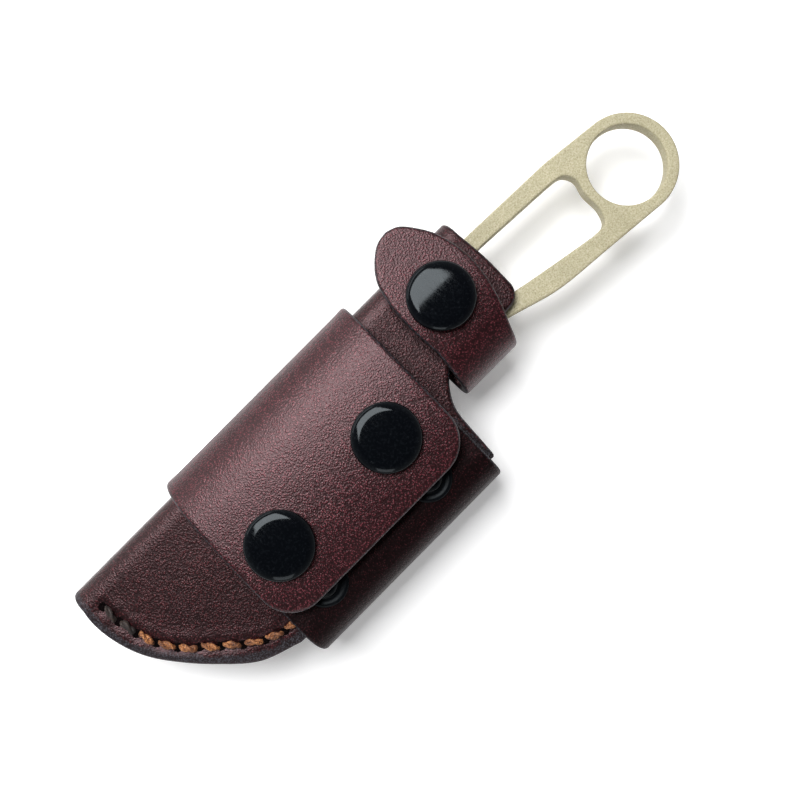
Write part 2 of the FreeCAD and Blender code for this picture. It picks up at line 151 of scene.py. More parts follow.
class Path:
    """A line in the (y, z) plane along one face of a hide; at() gives points a height t off it."""

    def __init__(self, points, side):
        self.p = np.array(points, float)
        step = np.linalg.norm(np.diff(self.p, axis=0), axis=1)
        self.p = self.p[np.r_[True, step > 1e-6]]
        step = np.linalg.norm(np.diff(self.p, axis=0), axis=1)
        self.s = np.r_[0, np.cumsum(step)]
        self.length = self.s[-1]
        way = np.gradient(self.p, self.s, axis=0)
        way /= np.linalg.norm(way, axis=1)[:, None]
        self.n = np.column_stack([-way[:, 1], way[:, 0]]) * side

    def at(self, s, t):
        q = [np.interp(s, self.s, v) for v in (*self.p.T, *self.n.T)]
        size = np.hypot(q[2], q[3])
        return q[0] + q[2] / size * t, q[1] + q[3] / size * t


# ---- meshes -------------------------------------------------------------------------------------
def metres(x, y, z):
    return tuple((np.array([x, y, z]) - MID) / 1000)


def make(name, verts, faces, mat, body, nodes=(), attrs=None, cut=None):
    """One piece from millimetre points; it rides a body and replaces CAD nodes."""
    mesh = bpy.data.meshes.new(name)
    v = (np.array(verts, float) - MID) / 1000
    mesh.from_pydata([tuple(p) for p in v], [], faces)
    mesh.validate()
    mesh.update()
    for key, value in (attrs or {}).items():
        a = mesh.attributes.new(key, "FLOAT", "POINT")
        a.data.foreach_set("value", np.asarray(value, np.float32))
    ob = bpy.data.objects.new(name, mesh)
    bpy.context.scene.collection.objects.link(ob)
    ob.data.materials.append(mat)
    mesh.shade_smooth()
    if cut:
        mesh.set_sharp_from_angle(angle=math.radians(cut))
    if body:
        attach(ob, body)
    if nodes:
        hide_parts(*nodes)
    return ob


def join(shapes):
    """One list of points and one of faces from several shapes."""
    verts, faces = [], []
    for v, f in shapes:
        faces += [tuple(k + len(verts) for k in face) for face in f]
        verts += v
    return verts, faces


def lathe(profile, x, y, segs=64):
    """Turned shape from a (radius, z) line; points on the axis are shared."""
    verts, faces, rows = [], [], []
    for r, z in profile:
        if r < 1e-6:
            rows.append([len(verts)])
            verts.append((x, y, z))
        else:
            rows.append(list(range(len(verts), len(verts) + segs)))
            for k in range(segs):
                a = 2 * math.pi * k / segs
                verts.append((x + r * math.cos(a), y + r * math.sin(a), z))
    for a, b in zip(rows, rows[1:]):
        for k in range(segs):
            j = (k + 1) % segs
            if len(a) == 1:
                faces.append((a[0], b[k], b[j]))
            elif len(b) == 1:
                faces.append((a[k], b[0], a[j]))
            else:
                faces.append((a[k], b[k], b[j], a[j]))
    return verts, [f[::-1] for f in faces]


def moved_in(loop, inset, pinned):
    """The loop moved inwards by inset; the points that pinned() marks stay."""
    ahead = np.roll(loop, -1, axis=0) - loop
    ahead /= np.linalg.norm(ahead, axis=1)[:, None]
    normal = np.column_stack([-ahead[:, 1], ahead[:, 0]])
    normal = normal + np.roll(normal, 1, axis=0)
    normal /= np.maximum(np.linalg.norm(normal, axis=1), 0.5)[:, None]
    move = np.full(len(loop), float(inset))
    if pinned is not None:
        move[pinned(loop)] = 0
    return loop + normal * move[:, None]


def fill(rim, starts, grid):
    """Even triangles inside the rim loops; origin gives each point's number in the rim."""
    loops = [rim[f:f + n] for f, n in starts]
    lo, hi = loops[0].min(0), loops[0].max(0)
    gx, gy = np.meshgrid(np.arange(lo[0], hi[0], grid), np.arange(lo[1], hi[1], grid))
    gx = gx + (np.arange(gx.shape[0]) % 2)[:, None] * grid / 2
    extra = np.column_stack([gx.ravel(), gy.ravel()])
    extra = extra[inside(extra, loops)]
    near = np.min([distance(extra, loop) for loop in loops], axis=0)
    extra = extra[near > 0.45 * grid]
    links = [(f + i, f + (i + 1) % n) for f, n in starts for i in range(n)]
    got = geometry.delaunay_2d_cdt([Vector(p) for p in np.vstack([rim, extra])], links, [], 0, 1e-6)
    points = np.array([tuple(p) for p in got[0]])
    tris = np.array([t for t in got[2] if len(t) == 3])
    tris = tris[inside(points[tris].mean(axis=1), loops)]
    origin = [olds[0] if olds else None for olds in got[3]]
    return points, tris, origin


# Mark from the flat face to the cut side: it sets the black edge paint on the hides and the painted shade
# on the knife's side walls.
EDGE_PAINT_AND_SHADE = (0.0, 0.0, 0.0, 0.3, 0.85, 1.0, 1.0)   # edge mark from the flat face to the cut side


def plate(outer, holes, place, thick, rnd=0.7, step=0.8, grid=2.0, seam=None, band=0.5, paint=None):
    """Rounded-edge plate cut from a flat pattern; place(x, s, t) puts it in space."""
    loops = [turn_left(resample(outer, step))] + [turn_left(resample(h, step))[::-1] for h in holes]
    starts, count = [], 0
    for loop in loops:
        starts.append((count, len(loop)))
        count += len(loop)
    section = [(rnd * (1 - math.cos(a)), rnd * math.sin(a)) for a in np.linspace(0, math.pi / 2, 5)]
    section += [(rnd + band, rnd), (rnd + band * 2.2, rnd)]
    upper = [(np.vstack([moved_in(loop, inset, seam) for loop in loops]), thick - rnd + rise)
             for inset, rise in section]
    order = [(p, thick - h) for p, h in reversed(upper)] + upper
    total = len(order)
    flat, height, edge, faces = [], [], [], []
    for k, (p, h) in enumerate(order):
        flat.append(p)
        height.append(np.full(len(p), h))
        edge.append(np.full(len(p), EDGE_PAINT_AND_SHADE[min(k, total - 1 - k)]))
    for k in range(total - 1):
        for first, n in starts:
            for i in range(n):
                a, b = first + i, first + (i + 1) % n
                faces.append((k * count + a, k * count + b, (k + 1) * count + b, (k + 1) * count + a))
    points, tris, origin = fill(order[-1][0], starts, grid)
    for upper_side in (False, True):
        base = (total - 1) * count if upper_side else 0
        number = {new: base + old for new, old in enumerate(origin) if old is not None and old < count}
        fresh = [n for n in np.unique(tris) if n not in number]
        begin = sum(len(v) for v in flat)
        number.update({n: begin + j for j, n in enumerate(fresh)})
        flat.append(points[fresh])
        height.append(np.full(len(fresh), thick if upper_side else 0.0))
        edge.append(np.zeros(len(fresh)))
        for a, b, c in tris:
            p, q, r = points[[a, b, c]]
            left = (q[0] - p[0]) * (r[1] - p[1]) - (q[1] - p[1]) * (r[0] - p[0]) > 0
            if left == upper_side:
                faces.append((number[a], number[b], number[c]))
            else:
                faces.append((number[a], number[c], number[b]))
    xy = np.vstack(flat)
    mark = np.concatenate(edge)
    if seam is not None:
        mark = np.where(seam(xy), 0.0, mark)
    if paint is not None:
        far = np.min([distance(xy, loop) for loop in loops], axis=0)
        mark = np.maximum(mark, paint(xy[:, 0], xy[:, 1], far))
    return place(xy[:, 0], xy[:, 1], np.concatenate(height)), faces, {"edge": mark}


# ---- node helpers -------------------------------------------------------------------------------
def material(name, **sockets):
    mat = bpy.data.materials.new(name)
    mat.use_nodes = True
    nt = mat.node_tree
    bsdf = nt.nodes["Principled BSDF"]
    for key, value in sockets.items():
        bsdf.inputs[key.replace("_", " ")].default_value = value
    return mat, nt, bsdf


def set_inputs(nt, target, inputs):
    for key, value in inputs.items():
        if isinstance(value, bpy.types.NodeSocket):
            nt.links.new(value, target.inputs[key])
        else:
            target.inputs[key].default_value = value


def node(nt, kind, inputs=None, **props):
    n = nt.nodes.new(kind)
    for k, v in props.items():
        setattr(n, k, v)
    set_inputs(nt, n, inputs or {})
    return n


def ramp(nt, fac, stops):
    n = node(nt, "ShaderNodeValToRGB", {"Fac": fac})
    el = n.color_ramp.elements
    while len(el) < len(stops):
        el.new(0.5)
    for e, (pos, col) in zip(el, stops):
        e.position = pos
        e.color = (*col, 1)
    return n.outputs["Color"]


def math_node(nt, op, a, b=0.0, clamp=False):
    n = node(nt, "ShaderNodeMath", {0: a, 1: b}, operation=op)
    n.use_clamp = clamp
    return n.outputs[0]


def scaled(nt, value, factor):
    return math_node(nt, "MULTIPLY", value, factor)


def spread(nt, value, low, high, out_low=0.0, out_high=1.0):
    """Map low..high to out_low..out_high, clamped."""
    inputs = {0: value, 1: low, 2: high, 3: out_low, 4: out_high}
    return node(nt, "ShaderNodeMapRange", inputs).outputs[0]


def mix_colour(nt, fac, a, b, how="MIX"):
    n = node(nt, "ShaderNodeMix", {0: fac, 6: a, 7: b}, data_type="RGBA", blend_type=how)
    return n.outputs[2]


def noise(nt, vector, scale, detail, roughness=0.5):
    return node(nt, "ShaderNodeTexNoise",
                {"Vector": vector, "Scale": scale, "Detail": detail, "Roughness": roughness})


def object_space(nt):
    return node(nt, "ShaderNodeTexCoord").outputs["Object"]


def marked(nt, attribute):
    return node(nt, "ShaderNodeAttribute", attribute_name=attribute).outputs["Fac"]


def bump(nt, bsdf, height, strength, distance_m, under=None):
    """Bump node; without a layer over it, it goes to the shader."""
    inputs = {"Height": height, "Strength": strength, "Distance": distance_m}
    if under is not None:
        inputs["Normal"] = under
    out = node(nt, "ShaderNodeBump", inputs).outputs[0]
    if bsdf is not None:
        nt.links.new(out, bsdf.inputs["Normal"])
    return out


# ---- materials ----------------------------------------------------------------------------------
EDGE_BLACK = (0.003, 0.0032, 0.0038)
RED_SHEEN = (1.0, 0.68, 0.71)


def leather(name, light, dark, edge=EDGE_BLACK, rough=0.32, index=1.5, tint=RED_SHEEN):
    """Pebbled, drum-dyed hide with black burnished edges; the edge attribute marks the cut sides."""
    grain = 2500.0                         # pebbles per metre
    mat, nt, bsdf = material(name, IOR=index, Specular_Tint=(*tint, 1))
    coord = object_space(nt)
    wobble = noise(nt, coord, 1500.0, 2.0).outputs["Color"]
    centred = node(nt, "ShaderNodeVectorMath", {0: wobble, 1: (0.5, 0.5, 0.5)}, operation="SUBTRACT")
    small = node(nt, "ShaderNodeVectorMath", {0: centred.outputs[0], "Scale": 0.0005}, operation="SCALE")
    bent = node(nt, "ShaderNodeVectorMath", {0: coord, 1: small.outputs[0]}, operation="ADD").outputs[0]
    cell = node(nt, "ShaderNodeTexVoronoi", {"Vector": bent, "Scale": grain, "Smoothness": 0.25},
                feature="SMOOTH_F1")
    pit = noise(nt, coord, grain * 1.3, 3.0).outputs["Fac"]
    blotch = noise(nt, coord, 70.0, 5.0, 0.6).outputs["Fac"]
    pebble = math_node(nt, "MULTIPLY", cell.outputs["Distance"], 1.3, True)
    # Grain tone: the pebble tops are painted lighter and the creases darker. This is partly the hide's own
    # tone and partly painted highlight on the pebbles and painted shade in the creases.
    tone = math_node(nt, "ADD", scaled(nt, pebble, 0.6), scaled(nt, pit, 0.45))
    darkest = tuple(0.3 * c for c in dark)
    colour = ramp(nt, tone, [(0.34, light), (0.47, dark), (0.7, darkest)])
    mottled = ramp(nt, blotch, [(0.3, (0.78, 0.74, 0.76)), (0.7, (1.2, 1.12, 1.14))])
    colour = mix_colour(nt, 1.0, colour, mottled, "MULTIPLY")
    uneven = scaled(nt, math_node(nt, "SUBTRACT", pit, 0.5), 0.7)
    side = spread(nt, math_node(nt, "ADD", marked(nt, "edge"), uneven), 0.35, 0.75)
    fleck = ramp(nt, pit, [(0.48, edge), (0.62, tuple(16.0 * c for c in edge))])
    nt.links.new(mix_colour(nt, side, colour, fleck), bsdf.inputs["Base Color"])
    dull = spread(nt, tone, 0.3, 0.62, rough - 0.08, rough + 0.04)
    dull = math_node(nt, "ADD", dull, scaled(nt, side, 0.12), True)
    nt.links.new(dull, bsdf.inputs["Roughness"])
    high = math_node(nt, "ADD", math_node(nt, "SUBTRACT", 1.0, pebble), scaled(nt, pit, 0.5))
    fine = bump(nt, None, high, 1.0, 0.000055)
    bump(nt, bsdf, blotch, 0.3, 0.0006, fine)
    return mat


def coated_steel():
    """Sand-coloured textured powder coat; its cut side walls and rounded edges are painted darker, as
    painted shade.
    """
    mat, nt, bsdf = material("sand_coat", IOR=1.5)
    coord = object_space(nt)
    grit = noise(nt, coord, 3600.0, 3.0, 0.6).outputs["Fac"]
    lump = node(nt, "ShaderNodeTexVoronoi", {"Vector": coord, "Scale": 2900.0}, feature="SMOOTH_F1")
    wide = noise(nt, coord, 120.0, 4.0).outputs["Fac"]
    rough = math_node(nt, "ADD", scaled(nt, grit, 0.7), scaled(nt, lump.outputs["Distance"], 0.45))
    colour = ramp(nt, rough, [(0.3, (0.28, 0.25, 0.15)), (0.5, (0.42, 0.38, 0.245)),
                              (0.72, (0.54, 0.50, 0.36))])
    tint = ramp(nt, wide, [(0.3, (0.92, 0.92, 0.90)), (0.7, (1.05, 1.05, 1.03))])
    colour = mix_colour(nt, 1.0, colour, tint, "MULTIPLY")
    # Painted shade: the knife's cut side walls and rounded edges, found by the edge attribute, are mixed
    # towards dark olive.
    colour = mix_colour(nt, scaled(nt, marked(nt, "edge"), 0.16), colour, (0.10, 0.075, 0.035, 1))
    nt.links.new(colour, bsdf.inputs["Base Color"])
    nt.links.new(spread(nt, grit, 0.3, 0.7, 0.5, 0.72), bsdf.inputs["Roughness"])
    bump(nt, bsdf, rough, 1.0, 0.00013)
    return mat


def black_enamel(name, rough, index):
    """Glossy black lacquered metal with faint hairline scuffs."""
    mat, nt, bsdf = material(name, IOR=index, Specular_Tint=(0.86, 0.95, 1.0, 1))
    coord = object_space(nt)
    warp = node(nt, "ShaderNodeMapping", {"Vector": coord, "Scale": (2600.0, 240.0, 700.0),
                                          "Rotation": (0.0, 0.0, 0.9)})
    hair = noise(nt, warp.outputs[0], 1.0, 5.0, 0.7).outputs["Fac"]
    dust = noise(nt, coord, 1800.0, 4.0).outputs["Fac"]
    colour = ramp(nt, dust, [(0.5, (0.002, 0.0025, 0.0035)), (0.72, (0.005, 0.006, 0.008)),
                             (0.8, (0.04, 0.042, 0.045))])
    nt.links.new(colour, bsdf.inputs["Base Color"])
    nt.links.new(spread(nt, hair, 0.35, 0.75, rough, rough + 0.12), bsdf.inputs["Roughness"])
    bump(nt, bsdf, hair, 0.12, 0.00004)
    return mat


def waxed_thread():
    """Tan fibres with grime; the dull attribute blackens the first stitches."""
    mat, nt, bsdf = material("waxed_thread", Roughness=0.62, Sheen_Weight=0.06)
    coord = object_space(nt)
    fibre = noise(nt, coord, 2400.0, 5.0, 0.75).outputs["Fac"]
    dirt = noise(nt, coord, 260.0, 3.0).outputs["Fac"]
    colour = ramp(nt, fibre, [(0.38, (0.05, 0.016, 0.006)), (0.5, (0.30, 0.10, 0.026)),
                              (0.66, (0.70, 0.33, 0.13))])
    shade = ramp(nt, dirt, [(0.35, (0.45, 0.4, 0.4)), (0.6, (1.0, 1.0, 1.0))])
    colour = mix_colour(nt, 1.0, colour, shade, "MULTIPLY")
    colour = mix_colour(nt, scaled(nt, marked(nt, "dull"), 0.95), colour, (0.005, 0.005, 0.006, 1))
    nt.links.new(colour, bsdf.inputs["Base Color"])
    bump(nt, bsdf, fibre, 0.8, 0.0001)
    return mat


HIDE = leather("oxblood_hide", (0.175, 0.047, 0.058), (0.031, 0.0054, 0.0075))
DEEP = leather("oxblood_pouch", (0.096, 0.026, 0.029), (0.017, 0.0031, 0.0037), rough=0.33, index=1.44)
SAND = coated_steel()
CAP = black_enamel("cap_enamel", 0.05, 1.28)
METAL = black_enamel("fitting_enamel", 0.3, 1.18)
THREAD = waxed_thread()
WELT = leather("welt_edge", (0.010, 0.008, 0.009), (0.004, 0.003, 0.004), rough=0.5, index=1.3,
               tint=(0.85, 0.9, 1.0))
# Painted shade: the wrap's inner run gets a darker, less glossy copy of the hide, standing in for the shade
# it lies in under the flap.
INNER_SHADED = leather("oxblood_inner_painted_shade", (0.040, 0.011, 0.013), (0.005, 0.0010, 0.0014), rough=0.42, index=1.26)
HOLE = leather("stitch_hole", (0.006, 0.004, 0.004), (0.002, 0.0015, 0.0015), (0.001, 0.001, 0.001),
               rough=0.7, index=1.12)

# ---- pouch --------------------------------------------------------------------------------------
TIP = smooth([(-80.0, 21.0), (-81.6, 14.0), (-80.8, 6.6), (-78.3, 0.0), (-73.6, -6.7), (-68.6, -12.2),
              (-62.0, -18.1), (-53.0, -21.5)])
MOUTH_CORNER = (5.2, -22.9)
THROAT = ([MOUTH_CORNER] + arc((4.0, -21.5), 1.4, -30, 0, 4)[1:] + [(6.0, -12.0)]
          + smooth([(6.0, -12.0), (6.5, -9.6), (7.6, -7.2), (9.4, -4.7), (11.8, -2.5)])[1:]
          + [(30.0, -2.5)] + arc((30.4, 1.4), 3.9, -90, 0, 12)[1:]
          + smooth([(34.3, 1.4), (34.4, 9.0), (33.8, 16.8)])[1:])
FOLD_LENGTH = math.pi * FOLD_R
SEAM = np.array(smooth([(-77.4, 14.4), (-76.9, 7.4), (-73.6, -1.4), (-67.2, -8.0), (-60.0, -14.2),
                        (-53.6, -17.0), (-44.0, -17.5), (-20.0, -17.9), (2.6, -18.4)], 30))
SEAM_AT = np.r_[0, np.cumsum(np.linalg.norm(np.diff(SEAM, axis=0), axis=1))]
PITCH = SEAM_AT[-1] / round(SEAM_AT[-1] / 4.74)
HOLES = np.column_stack([np.interp(np.arange(0, SEAM_AT[-1] + 0.1, PITCH), SEAM_AT, SEAM[:, k])
                         for k in (0, 1)])
GROOVE_DEPTH, GROOVE_WIDTH = 0.5, 0.95     # the thread pulls the hide in
PUCKER_HEIGHT, PUCKER_OFF, PUCKER_WIDTH = 0.2, 1.9, 0.8
BAND_WIDTH = 2.0                           # edge paint seen on the faces


def across(s):
    """Place over the sheath of a point s along the folded hide."""
    return np.where(s < FOLD_Y + FOLD_LENGTH / 2, s, 2 * FOLD_Y + FOLD_LENGTH - s)


def from_seam(x, y):
    """Distance to the seam and the place along it."""
    near, along = np.full(len(x), 1e9), np.zeros(len(x))
    for (px, py), s0 in zip(SEAM[::2], SEAM_AT[::2]):
        d = np.hypot(x - px, y - py)
        along = np.where(d < near, s0, along)
        near = np.minimum(near, d)
    return near, along


def edge_band(x, s, far):
    """Edge paint along the stitched curve, front and back, ending at the throat."""
    curve = (x < -50) | (across(s) < -10)
    wide = BAND_WIDTH + 0.3 * np.sin(x * 0.9) * np.sin(x * 0.31 + 1)
    return np.clip((wide - far) / 0.7 + 0.5, 0, 1) * curve * (x < 5.0)


def pouch():
    path = Path(straight((FAR_Y, FRONT_IN), (FOLD_Y, FRONT_IN)) + arc((FOLD_Y, CORE_Z), FOLD_R, 90, -90, 40)
                + straight((FOLD_Y, BACK_IN), (FAR_Y, BACK_IN)), 1)
    front = [p for p in TIP if p[1] < FOLD_Y] + THROAT
    back = [(x, 2 * FOLD_Y + FOLD_LENGTH - y) for x, y in front[::-1]]

    def place(x, s, t):
        on_front = s < FOLD_Y + FOLD_LENGTH / 2
        y_flat = across(s)
        thin = np.clip(SKIVE_Y - y_flat, 0, 20) * (SKIVE_SLOPE / HIDE_T) * on_front
        off, along = from_seam(x, y_flat)
        wave = 0.5 - 0.5 * np.cos(2 * math.pi * along / PITCH)
        stitched = (t > 1) * on_front * (x < 5)
        dip = GROOVE_DEPTH * np.exp(-(off / GROOVE_WIDTH) ** 2) * (1.15 - 0.5 * wave)
        swell = PUCKER_HEIGHT * np.exp(-((off - PUCKER_OFF) / PUCKER_WIDTH) ** 2) * (0.35 + 0.9 * wave)
        y, z = path.at(s - FAR_Y, t * (1 - thin) - (dip - swell) * stitched)
        return np.column_stack([x, y, z])

    v, f, a = plate(front + back, [], place, HIDE_T, rnd=0.75, step=0.7, grid=1.1, paint=edge_band)
    make("pouch_hide", v, f, DEEP, "sheath", ["pouch_shell"], a)


def inset_points(inset, start, count):
    """Points along the stitched edge, a distance inside it."""
    p = np.array(TIP + [MOUTH_CORNER])
    d = np.r_[0, np.cumsum(np.linalg.norm(np.diff(p, axis=0), axis=1))]
    s = np.linspace(start, d[-1], count)
    here, ahead, behind = [np.column_stack([np.interp(s + k, d, p[:, 0]), np.interp(s + k, d, p[:, 1])])
                           for k in (0.0, 0.3, -0.3)]
    way = ahead - behind
    way /= np.linalg.norm(way, axis=1)[:, None]
    return here + inset * np.column_stack([-way[:, 1], way[:, 0]])


def welt():
    """Spacer between the panels along the stitches."""
    outer = [tuple(p) for p in inset_points(0.15, 4.6, 90)]
    inner = [tuple(p) for p in inset_points(7.0, 4.6, 60)]
    v, f, a = plate(outer + inner[::-1], [], lambda x, s, t: np.column_stack([x, s, BACK_IN + 0.02 + t]),
                    4.36, rnd=0.3, step=0.9, grid=2.4)
    a["edge"] = np.full(len(v), 0.0)
    make("pouch_welt_ply", v, f, WELT, "sheath", ["pouch_welt"], a)


# ---- stitching ----------------------------------------------------------------------------------
OPEN_RUN = (0.9, 0.42, -0.75)              # thread radius, rise over the hide and slant
COVERED_RUN = (0.4, 0.1, 0.0)              # pulled in flat under the wrap
BACK_RUN = (0.7, 0.3, -0.75)
COVERED_FROM = -50.8                       # the wrap covers the seam from here to the throat
BLACKENED = 2                              # the first stitches carry edge paint


def front_face(y):
    return FRONT_TOP - SKIVE_SLOPE * max(0.0, SKIVE_Y - y)


def stitch(p, q, level, up, seed, shape):
    """One run of two-ply thread that dives into the hole at each end."""
    radius, rise, slant = shape
    rng = np.random.default_rng(seed)
    d = q - p
    length = np.linalg.norm(d)
    d /= length
    side = np.array([-d[1], d[0]])
    rings_n, ring_n = 22, 12
    bow, phase = rng.uniform(-0.3, 0.3), rng.uniform(0, 6)
    slant *= rng.uniform(0.4, 1.5)
    radius *= rng.uniform(0.88, 1.08)
    verts, faces = [], []
    for ply in (0, 1):
        first = len(verts)
        for i in range(rings_n):
            u = i / (rings_n - 1)
            arch = math.sin(math.pi * u)
            turn = phase + ply * math.pi + 5.4 * u
            r = radius * 0.56 * (0.45 + 0.55 * arch ** 0.5)
            twist = 0.40 * radius * (0.3 + 0.7 * arch) * math.cos(turn)
            sideways = slant * (u - 0.5) + bow * arch + twist
            centre = p + d * (0.05 + (length - 0.1) * u) + side * sideways
            dive = 1.0 * (1 - min(1, 6.5 * min(u, 1 - u)))
            lift = rise * arch ** 0.6 - dive + 0.3 * radius * math.sin(turn)
            for k in range(ring_n):
                a = 2 * math.pi * k / ring_n
                w = r * (1 + 0.06 * math.sin(3 * a + 9 * u + ply))
                verts.append((centre[0] + side[0] * w * math.cos(a), centre[1] + side[1] * w * math.cos(a),
                              level + up * (lift + w * math.sin(a))))
        rings = [[first + i * ring_n + k for k in range(ring_n)] for i in range(rings_n)]
        for a, b in zip(rings, rings[1:]):
            for k in range(ring_n):
                j = (k + 1) % ring_n
                quad = (a[k], b[k], b[j], a[j])
                faces.append(quad if up < 0 else quad[::-1])
        for ring, forward in ((rings[0], up < 0), (rings[-1], up > 0)):
            faces.append(tuple(ring) if forward else tuple(ring[::-1]))
    return verts, faces


def stitching():
    runs, dull = [], []
    for i, (p, q) in enumerate(zip(HOLES, HOLES[1:])):
        covered = (p[0] + q[0]) / 2 > COVERED_FROM
        level = front_face((p[1] + q[1]) / 2) - 0.25
        runs.append(stitch(p, q, level, 1, 40 + i, COVERED_RUN if covered else OPEN_RUN))
        runs.append(stitch(p, q, BACK_LOW, -1, 40 + i, BACK_RUN))
        dull += [1.0 if i < BLACKENED else 0.0] * len(runs[-2][0]) + [0.0] * len(runs[-1][0])
    verts, faces = join(runs)
    make("stitching_thread", verts, faces, THREAD, "sheath", ["pouch_stitching"],
         {"dull": dull})


def stitch_holes():
    """A small dark cup in the hide at each stitch end."""
    cups = []
    for x, y in HOLES:
        low = front_face(y) - 0.28
        cup = [(0, low + 0.02), (0.6, low + 0.05), (0.95, low + 0.12), (1.05, low + 0.05)]
        cups.append(lathe(cup, x, y, 20))
    verts, faces = join(cups)
    make("stitch_holes", verts, faces, HOLE, "sheath",
         attrs={"edge": np.zeros(len(verts))})


# ---- retention strap ----------------------------------------------------------------------------
def strap():
    over = [(y, STRAP_LOW - max(0.0, 13.0 - y) ** 2 / 130.0) for y in np.linspace(-1.5, 40.0, 90)]
    path = Path(straight((-1.8, BACK_IN), (-5.9, BACK_IN)) + arc((-5.9, 10.3), 1.5, 270, 180)
                + bezier((-7.4, 10.3), (-7.4, 14.4), (-5.6, 15.5), over[0]) + over[1:], 1)

    def on_flap(y):
        return float(np.interp(y, path.p[60:, 0], path.s[60:]))

    hinge = on_flap(-4.4)
    right = smooth([(25.8, 0.0), (26.2, hinge - 9), (26.8, hinge - 2), (29.1, on_flap(0.0)),
                    (30.5, on_flap(5.0)), (31.2, on_flap(12.0)), (29.8, on_flap(19.5)),
                    (27.6, on_flap(23.6)), (25.1, on_flap(26.6)), (22.3, on_flap(27.7))])
    left = smooth([(22.3, on_flap(27.7)), (19.3, on_flap(27.1)), (15.9, on_flap(24.6)),
                   (13.4, on_flap(21.3)), (12.2, on_flap(17.3)), (11.5, on_flap(12.5)),
                   (11.5, on_flap(6.5)), (11.8, on_flap(1.5)), (11.3, on_flap(-3.0)),
                   (10.6, hinge - 6), (10.5, 0.0)])

    def place(x, s, t):
        y, z = path.at(s, t)
        lean = np.clip((s - hinge + 3) / 6, 0, 1)
        return np.column_stack([x, y, z - lean * TIP_LEAN * (y - STRAP_SNAP[1]) + 0.1])

    v, f, a = plate(right + left[1:], [], place, HIDE_T, rnd=0.75, step=0.7, grid=1.5)
    ob = make("strap_hide", v, f, HIDE, None, ["strap_fold", "strap_flap"], a)
    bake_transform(ob)


# ---- belt wrap ----------------------------------------------------------------------------------
WRAP_X0, WRAP_X1 = -50.4, 4.5
SKEW = 0.022                               # the wrap sits about a degree out of square


def skewed(x, y, z):
    return np.column_stack([x + SKEW * y, y, z])


def crown(y):
    """Height of the flap's lower face: a soft crown over the snaps."""
    return 20.62 - (y + 3.0) ** 2 / np.where(y > -3.0, 180.0, 240.0)


def wrap_inner():
    """From the front, round the stitched side, to the back."""
    corner = 3.0
    path = Path(straight((11.5, WRAP_LOW), (-20.0, WRAP_LOW)) + arc((-20.0, 10.8), 4.6, 90, 180, 40)
                + arc((-20.0, 6.8), 4.6, 180, 270, 40) + straight((-20.0, WRAP_T), (12.3, WRAP_T)), -1)
    loop = ([(WRAP_X0 + corner, 0.0)] + arc((WRAP_X1 - corner, corner), corner, -90, 0, 8)
            + [(WRAP_X1, path.length), (WRAP_X0, path.length)]
            + arc((WRAP_X0 + corner, corner), corner, 180, 270, 8)[:-1])
    v, f, a = plate(loop, [], lambda x, s, t: skewed(x, *path.at(s, t)), WRAP_T, rnd=0.8, step=0.9,
                    grid=2.0, seam=lambda p: p[:, 1] > path.length - 0.01)
    # The inner run's hide is the darker copy of the hide: painted shade.
    make("wrap_inner_hide", v, f, INNER_SHADED, "sheath", ["wrap_strap"], a)


def wrap_flap():
    """From the back, round the spine, over the front to the snaps."""
    corner = 8.2
    top = [(y, float(crown(y))) for y in np.linspace(9.5, -30.0, 60)]
    path = Path(arc((12.3, 11.4), 9.2, -90, 0, 50)
                + bezier((21.5, 11.4), (21.5, 16.0), (15.6, 18.9), (9.5, 19.75))[1:] + top[1:], -1)
    end = float(np.interp(17.1, -path.p[-55:, 0], path.s[-55:]))
    loop = ([(WRAP_X0, 0.0), (WRAP_X1, 0.0), (WRAP_X1, end - 8)]
            + arc((WRAP_X1 - corner, end - corner), corner, 0, 90, 20)
            + arc((WRAP_X0 + corner, end - corner), corner, 90, 180, 20))
    v, f, a = plate(loop, [], lambda x, s, t: skewed(x, *path.at(s, t)), WRAP_T, rnd=0.8, step=0.9,
                    grid=2.0, seam=lambda p: p[:, 1] < 0.01)
    ob = make("wrap_flap_hide", v, f, HIDE, None, ["wrap_fold", "wrap_flap"], a)
    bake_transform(ob)


# ---- snaps and rivets ---------------------------------------------------------------------------
def cap_profile(top, hide):
    """Nearly flat dome with a full rolled rim, its tube going down through the hide."""
    z = top + 2.4
    flat_r, roll_r, dome = 5.3, 2.2, 114
    flat = [(r, z - r * r / dome) for r in np.linspace(0, flat_r, 12)]
    roll = []
    for a in np.linspace(0.08, math.pi / 2, 18):
        r = flat_r + roll_r * math.sin(a)
        roll.append((r, z - r ** 2 / dome - 1.0 * (1 - math.cos(a))))
    rim = [(7.5, top + 0.6), (7.46, top + 0.25), (7.3, top + 0.04), (6.6, top - 0.05)]
    low = top - hide
    tube = [(2.1, top - 0.05), (2.1, low - 0.42), (1.5, low - 0.42), (1.5, low + 0.4), (0, low + 0.4)]
    return flat + roll + rim + tube


def socket_profile(low):
    return [(2.2, low - 0.02), (5.9, low - 0.02), (6.0, low - 0.2), (5.8, low - 0.45), (4.95, low - 0.6),
            (4.9, low - 1.4), (4.75, low - 1.95), (4.5, low - 2.22), (4.1, low - 2.25), (3.8, low - 2.1),
            (3.72, low - 1.6), (3.75, low - 0.55), (2.2, low - 0.5), (2.2, low - 0.02)]


def stud_profile(top):
    z = top + 0.02
    return [(0, z + 2.15), (1.4, z + 2.13), (2.1, z + 2.05), (2.55, z + 1.9), (2.85, z + 1.6),
            (2.92, z + 1.3), (2.82, z + 0.95), (2.9, z + 0.6), (3.2, z + 0.36), (3.7, z + 0.28),
            (4.1, z + 0.3), (4.4, z + 0.42), (4.75, z + 0.48), (5.05, z + 0.4), (5.27, z + 0.2),
            (5.28, z + 0.02), (4.9, z), (1.9, z)]


